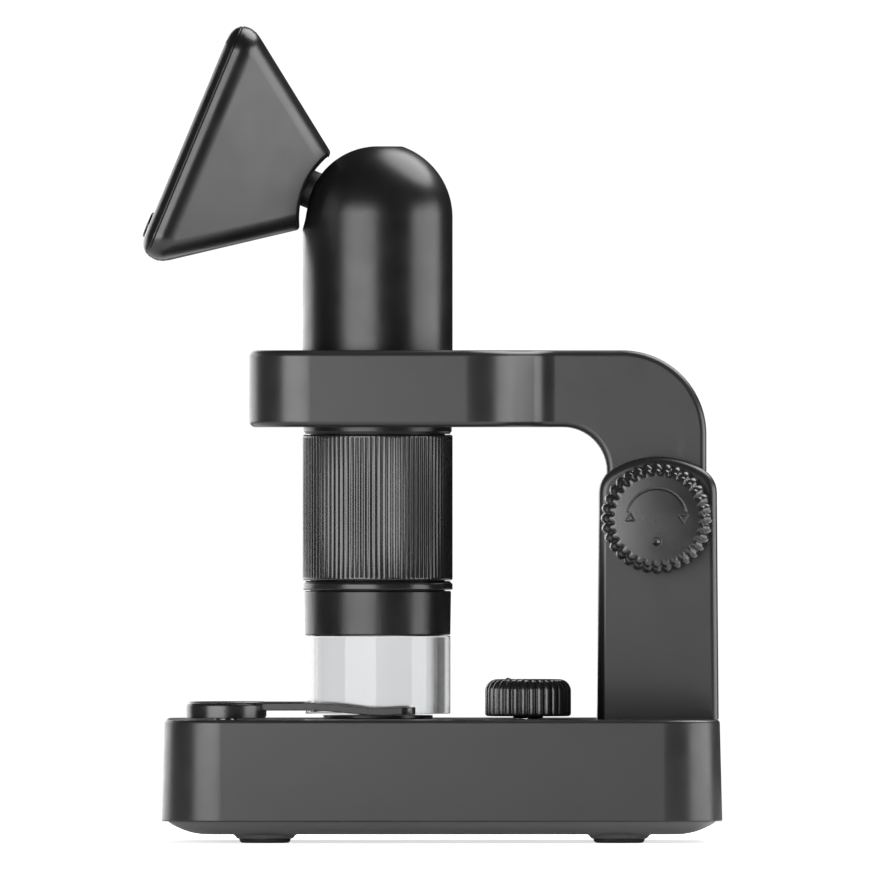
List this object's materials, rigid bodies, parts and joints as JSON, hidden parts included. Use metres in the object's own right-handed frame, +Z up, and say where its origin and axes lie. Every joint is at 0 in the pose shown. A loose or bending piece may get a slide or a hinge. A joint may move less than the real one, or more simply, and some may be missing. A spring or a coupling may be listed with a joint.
{
  "type": "digital microscope",
  "caption": "Handheld digital microscope with a tilting square display head, held in a rack-and-pinion focusing stand with a lit stage.",
  "frame": {"origin": "middle of the object's plan on the surface that it stands on", "axes": "+X from the display to the column, +Y to the side away from the focus knob, +Z up"},
  "size_m": [0.1311, 0.085, 0.1845],
  "materials": {
    "body_plastic": "fine satin moulded ABS, dark grey",
    "barrel_plastic": "soft-touch satin, near black",
    "knob_plastic": "satin moulded, near black",
    "trim_plastic": "semi-gloss black",
    "inner_plastic": "matt black inner mouldings",
    "rubber": "matt black rubber",
    "clear_plastic": "clear polished acrylic",
    "diffuser": "milky diffuser",
    "glass": "black-backed cover glass",
    "lens_glass": "coated lens glass",
    "lcd": "unlit liquid crystal panel",
    "steel": "plated steel",
    "brass": "machined brass",
    "washer_plastic": "natural low-friction plastic",
    "circuit_board": "green solder mask",
    "led_board": "white solder mask",
    "led": "LED with yellow phosphor",
    "cell_wrap": "shrink-wrapped cell"
  },
  "bodies": {
    "stand": {"base_housing": "body_plastic", "base_cover": "body_plastic", "base_screws": "steel", "foot_pads": "rubber", "battery_door": "body_plastic", "aaa_cells": "cell_wrap", "battery_contacts": "steel", "light_board": "circuit_board", "light_leds": "led", "stage_window": "diffuser", "stage_ring": "trim_plastic", "dimmer_pot": "inner_plastic", "clip_pins": "steel", "column": "body_plastic", "column_screws": "steel", "shaft_bushes": "brass", "friction_washer": "washer_plastic", "shaft_cap": "knob_plastic"},
    "arm": {"arm_frame": "body_plastic", "holder_liner": "rubber", "rack": "brass"},
    "focus_drive": {"focus_knob": "knob_plastic", "pinion_shaft": "steel", "pinion": "brass"},
    "dimmer": {"dimmer_knob": "knob_plastic", "dimmer_shaft": "steel"},
    "near_clip": {"clip_near": "knob_plastic"},
    "far_clip": {"clip_far": "knob_plastic"},
    "handheld": {"barrel_shell": "barrel_plastic", "chassis_tube": "inner_plastic", "trim_ring": "trim_plastic", "lens_skirt": "barrel_plastic", "clear_cover": "clear_plastic", "led_ring_board": "led_board", "ring_leds": "led", "sensor_board": "circuit_board", "main_board": "circuit_board", "lithium_cell": "cell_wrap", "usb_port": "steel", "card_slot": "steel", "ball_seat": "inner_plastic"},
    "power_key": {"power_button": "trim_plastic"},
    "ring": {"focus_ring": "knob_plastic"},
    "lens_carriage": {"lens_barrel": "inner_plastic", "objective_lenses": "lens_glass"},
    "neck": {"display_neck": "inner_plastic", "neck_collar": "steel"},
    "display": {"display_rear_shell": "barrel_plastic", "display_bezel": "barrel_plastic", "screen_glass": "glass", "lcd_panel": "lcd", "display_board": "circuit_board", "display_screws": "steel"},
    "menu_key": {"key_menu": "trim_plastic"},
    "down_key": {"key_down": "trim_plastic"},
    "up_key": {"key_up": "trim_plastic"},
    "ok_key": {"key_ok": "trim_plastic"}
  },
  "joints": [
    {"name": "arm_lift", "type": "slide", "parent": "stand", "child": "arm", "axis": [0, 0, 1], "range_m": [0, 0.025]},
    {"name": "focus_knob_turn", "type": "hinge", "parent": "stand", "child": "focus_drive", "pos_m": [0.05055, 0, 0.0733], "axis": [0, -1, 0], "range_deg": [0, 224]},
    {"name": "dimmer_turn", "type": "hinge", "parent": "stand", "child": "dimmer", "pos_m": [0.02149, 0, 0.03], "axis": [0, 0, -1], "range_deg": [0, 270]},
    {"name": "clip_near_turn", "type": "hinge", "parent": "stand", "child": "near_clip", "pos_m": [-0.0469, -0.02202, 0.028], "axis": [0, 0, -1], "range_deg": [0, 100]},
    {"name": "clip_far_turn", "type": "hinge", "parent": "stand", "child": "far_clip", "pos_m": [-0.0469, 0.02202, 0.028], "axis": [0, 0, 1], "range_deg": [0, 100]},
    {"name": "handheld_lift", "type": "slide", "parent": "arm", "child": "handheld", "axis": [0, 0, 1], "range_m": [0, 0.084]},
    {"name": "focus_ring_turn", "type": "hinge", "parent": "handheld", "child": "ring", "pos_m": [-0.0126, 0, 0.075], "axis": [0, 0, 1], "range_deg": [0, 270]},
    {"name": "lens_travel", "type": "slide", "parent": "handheld", "child": "lens_carriage", "axis": [0, 0, 1], "range_m": [0, 0.0101]},
    {"name": "power_press", "type": "slide", "parent": "handheld", "child": "power_key", "axis": [0, -1, 0], "range_m": [0, 0.0004], "stiffness_N_per_m": 1500, "springref_m": -0.0003},
    {"name": "display_tilt", "type": "hinge", "parent": "handheld", "child": "neck", "pos_m": [-0.0126, 0, 0.1415], "axis": [0, 1, 0], "range_deg": [-3, 67]},
    {"name": "display_swivel", "type": "hinge", "parent": "neck", "child": "display", "pos_m": [-0.0126, 0, 0.1415], "axis": [-0.9229, 0, 0.3851], "range_deg": [-90, 90]},
    {"name": "menu_press", "type": "slide", "parent": "display", "child": "menu_key", "axis": [0.9229, 0, -0.3851], "range_m": [0, 0.0005], "stiffness_N_per_m": 1500, "springref_m": -0.0003},
    {"name": "down_press", "type": "slide", "parent": "display", "child": "down_key", "axis": [0.9229, 0, -0.3851], "range_m": [0, 0.0005], "stiffness_N_per_m": 1500, "springref_m": -0.0003},
    {"name": "up_press", "type": "slide", "parent": "display", "child": "up_key", "axis": [0.9229, 0, -0.3851], "range_m": [0, 0.0005], "stiffness_N_per_m": 1500, "springref_m": -0.0003},
    {"name": "ok_press", "type": "slide", "parent": "display", "child": "ok_key", "axis": [0.9229, 0, -0.3851], "range_m": [0, 0.0005], "stiffness_N_per_m": 1500, "springref_m": -0.0003}
  ],
  "couplings": [
    {"joint": "focus_knob_turn", "follows": "arm_lift", "rad_per_m": 156.25},
    {"joint": "lens_travel", "follows": "focus_ring_turn", "m_per_rad": 0.0021221}
  ]
}
